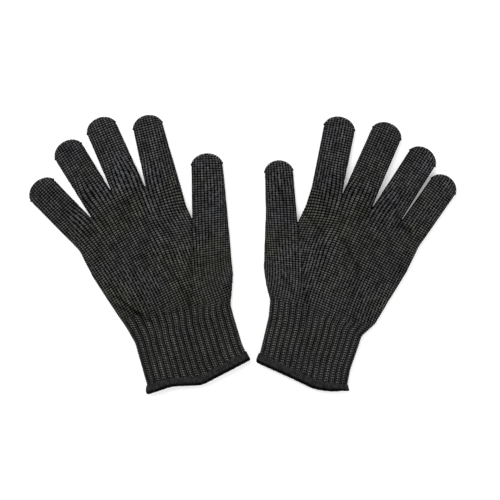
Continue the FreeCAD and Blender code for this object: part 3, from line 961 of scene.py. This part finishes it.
def make_digit(glove, name, first_row):
    """The free part of a digit, one piece for each section."""
    skin = Skin(glove, name, digit_rows(glove, name, first_row))
    up = glove.thumb_up if name == "thumb" else np.array((0.0, 1.0))
    parts = ("base", "tip") if name == "thumb" else ("base", "middle", "tip")
    places = [float(glove.folds[f"{name}_{part}"] @ up) for part in parts]
    heights = skin.rows[:, 0] @ up
    cuts = [0] + [int(np.argmin(abs(heights - (a + b) / 2.0)))
                  for a, b in zip(places, places[1:])] + [len(heights) - 1]
    parent = "palm"
    for part, low, high in zip(parts, cuts, cuts[1:]):
        section = f"{name}_{part}"
        patches = two_faces(skin, slice(low, high + 1))
        piece = knit_mesh(glove, f"{section}_knit", patches, DIGIT_KNIT)
        before = BEND_REACH
        if part == "base":
            before = 3.0 if name == "thumb" else places[0] - heights[0]
        bend(piece, glove, parent, section, before, BEND_REACH)
        finish_piece(piece, "digit_knit", f"{glove.name}_{section}")
        parent = section


def lining(skin, step=4):
    """The inner faces of the fabric, on a coarser grid."""
    field = skin.field[::step, ::step]
    found = []
    for face, flipped in (("upper", True), ("under", False)):
        points, normal = skin.faces[face]
        found.append(((points - WALL * normal)[::step, ::step], field, flipped))
    return found


def make_cuff(glove, strips):
    """The ribbed cuff with its lining."""
    skin = Skin(glove, "cuff", cuff_rows(glove, strips)[::-1])
    piece = knit_mesh(glove, "cuff_knit", two_faces(skin) + lining(skin), RIB_KNIT)
    bend(piece, glove, "palm", "cuff", CUFF_SPLIT, CUFF_END)
    finish_piece(piece, "rib_knit", f"{glove.name}_cuff")
    return skin


def spread_corner(glove, grid, first_row):
    """The hem's corner on the small finger's side, pulled out and rounded."""
    out, up = HEM_CORNER[glove.name]
    near = np.exp(-(np.maximum(0.0, grid[..., 0] - first_row[0, 0]) / 8.0)**2)
    depth = np.clip((first_row[0, 1] - grid[..., 1]) / HEM_WIDTH, 0.0, 1.4)
    bulge = smoothstep(-0.1, 0.7, depth) * (1.0 - 0.4 * smoothstep(0.8, 1.3, depth))
    moved = grid.copy()
    moved[..., 0] -= out * near * bulge
    moved[..., 1] += up * near * smoothstep(0.2, 1.2, depth)
    return moved


def make_hem(glove, first_row):
    """The thread bound round the cuff's mouth, from its outside over the edge to its inside."""
    skin = Skin(glove, "cuff", hem_rows(glove, first_row))
    turns = np.linspace(0.0, math.pi, 9)[1:-1]
    rim = WALL / 2.0 + HEM_PROUD
    patches = []
    for face, flipped in (("upper", True), ("under", False)):
        points, normal = skin.faces[face]
        run = np.cumsum(np.hypot(*np.diff(skin.rows[-1], axis=0, prepend=skin.rows[-1][:1]).T))
        out = unit(points[-1] - points[-2])
        middle = points - normal * WALL / 2.0
        roll = np.array([middle[-1] + rim * (math.cos(turn) * normal[-1] + math.sin(turn) * out)
                         for turn in turns])
        share = np.linspace(0.0, 1.0, HEM_ROWS + 1)[:, None, None]
        proud = HEM_PROUD * smoothstep(0.0, 0.12, share)
        outside = points + normal * proud
        inside = (points - normal * (WALL + proud))[::-1]
        grid = np.concatenate((outside, roll, inside))
        count = np.arange(len(grid))
        turn = count[:, None] / 5.0
        loops = np.broadcast_to(run / THREAD_PITCH, grid.shape[:2])
        field = np.zeros(grid.shape[:2] + (6,))
        field[..., 0] = loops
        field[..., 1] = turn
        # Painted shade: dark on the outer face's last rows where they meet the rolled edge, less
        # dark over the roll and inside the hem.
        over = count[:, None] - HEM_ROWS + 2.5
        field[..., 5] = 1.0 - HEM_SHADE * smoothstep(-1.0, 1.0, over)
        field[..., 5] += (HEM_SHADE - INSIDE_SHADE) * smoothstep(2.0, 6.0, over)
        core = np.repeat(middle[-1:], len(roll), axis=0)
        outward = unit(grid - np.concatenate((middle, core, middle[::-1])))
        wave = np.cos(2.0 * math.pi * (loops + 0.3 * turn)) + 0.5 * np.cos(2.6 * loops + turn)
        edge = np.minimum(1.0, np.minimum(count, count[::-1]) / 3.0)
        grid = grid + outward * (0.16 * wave * edge[:, None])[..., None]
        patches.append((spread_corner(glove, grid, first_row), field, flipped))
    piece = knit_mesh(glove, "hem_binding", patches, HEM_THREAD)
    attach(piece, f"{glove.name}_cuff")
    finish_piece(piece, "hem_thread", f"{glove.name}_hem")


def tube(path, sideways, upwards, widths, heights, closed):
    """A grid round a path: its cross-section is an ellipse with twisted thread on it."""
    count = len(path)
    turns = np.linspace(0.0, 2.0 * math.pi, TUBE_SIDES + 1)
    run = np.cumsum(np.linalg.norm(np.diff(path, axis=0, prepend=path[:1]), axis=-1))
    twist = run[:, None] / THREAD_PITCH + turns[None] / (2.0 * math.pi)
    swell_share = 1.0 + 0.1 * np.cos(2.0 * math.pi * twist)
    across = (np.cos(turns)[None] * widths[:, None] * swell_share)[..., None]
    up = (np.sin(turns)[None] * heights[:, None] * swell_share)[..., None]
    grid = path[:, None] + sideways[:, None] * across + upwards[:, None] * up
    field = np.zeros((count, TUBE_SIDES + 1, 6))
    field[..., 0] = twist
    field[..., 5] = 1.0
    if closed:
        grid = np.concatenate((grid, grid[:1]))
        field = np.concatenate((field, field[-1:]))
    return grid, field, False


def make_elastic(glove, cuff):
    """Covered elastic yarns round the inside of the cuff."""
    patches = []
    drops = -(cuff.rows[..., 1] - wrist_line(glove, cuff.rows[..., 0], 0.0)).mean(axis=1)
    for drop in ELASTIC_DROPS:
        row = int(np.argmin(abs(drops - drop)))
        path, sideways = [], []
        for face, columns in (("upper", slice(None, -1, 2)), ("under", slice(None, 0, -2))):
            points, normal = cuff.faces[face]
            path.append((points[row] - normal[row] * (WALL + 0.3))[columns])
            sideways.append(normal[row][columns])
        path, sideways = np.vstack(path), np.vstack(sideways)
        along = unit(np.roll(path, -1, axis=0) - np.roll(path, 1, axis=0))
        upwards = np.cross(along, sideways)
        size = np.ones(len(path))
        patches.append(tube(path, sideways, upwards, 0.4 * size, 0.6 * size, True))
    piece = knit_mesh(glove, "elastic_yarns", patches, ELASTIC_YARN)
    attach(piece, f"{glove.name}_cuff")
    finish_piece(piece, "elastic_yarn", f"{glove.name}_elastic")


def make_tip_thread(glove, name):
    """The thread that closes a digit, round its end, with a small knot at each end."""
    span = glove.spans[DIGITS.index(name)]
    heights = span @ glove.way_up(name)
    kept = span[heights > heights.max() - TIP_SEAM_REACH][::2]
    along = np.gradient(kept, axis=0)
    along /= np.hypot(*along.T)[:, None]
    outward = np.stack((-along[:, 1], along[:, 0]), axis=-1)
    share = np.linspace(0.0, 1.0, len(kept))
    ends = np.minimum(share, 1.0 - share) * len(kept) * 2.0 * LINE_STEP
    size = (0.3 + 0.5 * np.exp(-((ends - 1.2) / 0.8)**2)) * np.sqrt(np.clip(ends / 0.8, 0.0, 1.0))
    path = np.column_stack((kept + outward * 0.05, np.full(len(kept), MIDDLE_HEIGHT)))
    sideways = np.column_stack((outward, np.zeros(len(kept))))
    upwards = np.tile((0.0, 0.0, 1.0), (len(kept), 1))
    patch = tube(path, sideways, upwards, size, 1.15 * size, False)
    piece = knit_mesh(glove, f"{name}_tip_thread", [patch], SEAM_THREAD)
    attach(piece, f"{glove.name}_{name}_tip")
    finish_piece(piece, "seam_thread", f"{glove.name}_{name}_seam")


def make_glove(glove):
    strips = palm_strips(glove)
    make_palm(glove, strips)
    for name in DIGITS:
        make_digit(glove, name, strips[name][-1])
        make_tip_thread(glove, name)
    cuff = make_cuff(glove, strips)
    make_hem(glove, cuff.rows[0])
    make_elastic(glove, cuff)


for glove_name, thumb_side in (("right", 1.0), ("left", -1.0)):
    make_glove(Glove(glove_name, thumb_side))


# Floor, light and camera

def make_stage():
    mesh = bpy.data.meshes.new("floor")
    half = 3.0
    mesh.from_pydata([(-half, -half, 0), (half, -half, 0), (half, half, 0), (-half, half, 0)],
                     [], [(0, 1, 2, 3)])
    floor = add_object("floor", mesh)
    n = Nodes("floor")
    n.surface({"Base Color": (0.9, 0.9, 0.9, 1.0), "Roughness": 0.9,
               "Emission Color": (1.0, 1.0, 1.0, 1.0), "Emission Strength": 0.25})
    mesh.materials.append(n.material)


def add_light(name, place, size, power):
    """A soft round light that faces the pair."""
    data = bpy.data.lights.new(name, "AREA")
    data.shape = "DISK"
    data.size = size
    data.energy = power
    light = add_object(name, data)
    light.location = place
    light.rotation_euler = (-Vector(place)).to_track_quat("-Z", "Y").to_euler()


def add_camera():
    """A camera straight above the pair, a little off its middle.

    It sees a square of this width at this height above the table.
    """
    data = bpy.data.cameras.new("camera")
    data.lens = 110.0
    data.sensor_width = 36.0
    data.clip_end = 20.0
    width, height = 0.430, 0.009
    camera = add_object("camera", data)
    camera.location = (0.00624, 0.00308, height + width * data.lens / data.sensor_width)
    bpy.context.scene.camera = camera


def add_world():
    world = bpy.data.worlds.new("studio")
    world.use_nodes = True
    background = world.node_tree.nodes["Background"]
    background.inputs["Color"].default_value = (1.0, 1.0, 1.0, 1.0)
    background.inputs["Strength"].default_value = 0.55
    bpy.context.scene.world = world


make_stage()
add_light("key", (-0.7, 0.9, 1.6), 1.2, 28.0)
add_light("fill", (0.9, -0.5, 1.5), 1.6, 16.0)
add_camera()
add_world()
bpy.context.scene.view_settings.view_transform = "Standard"
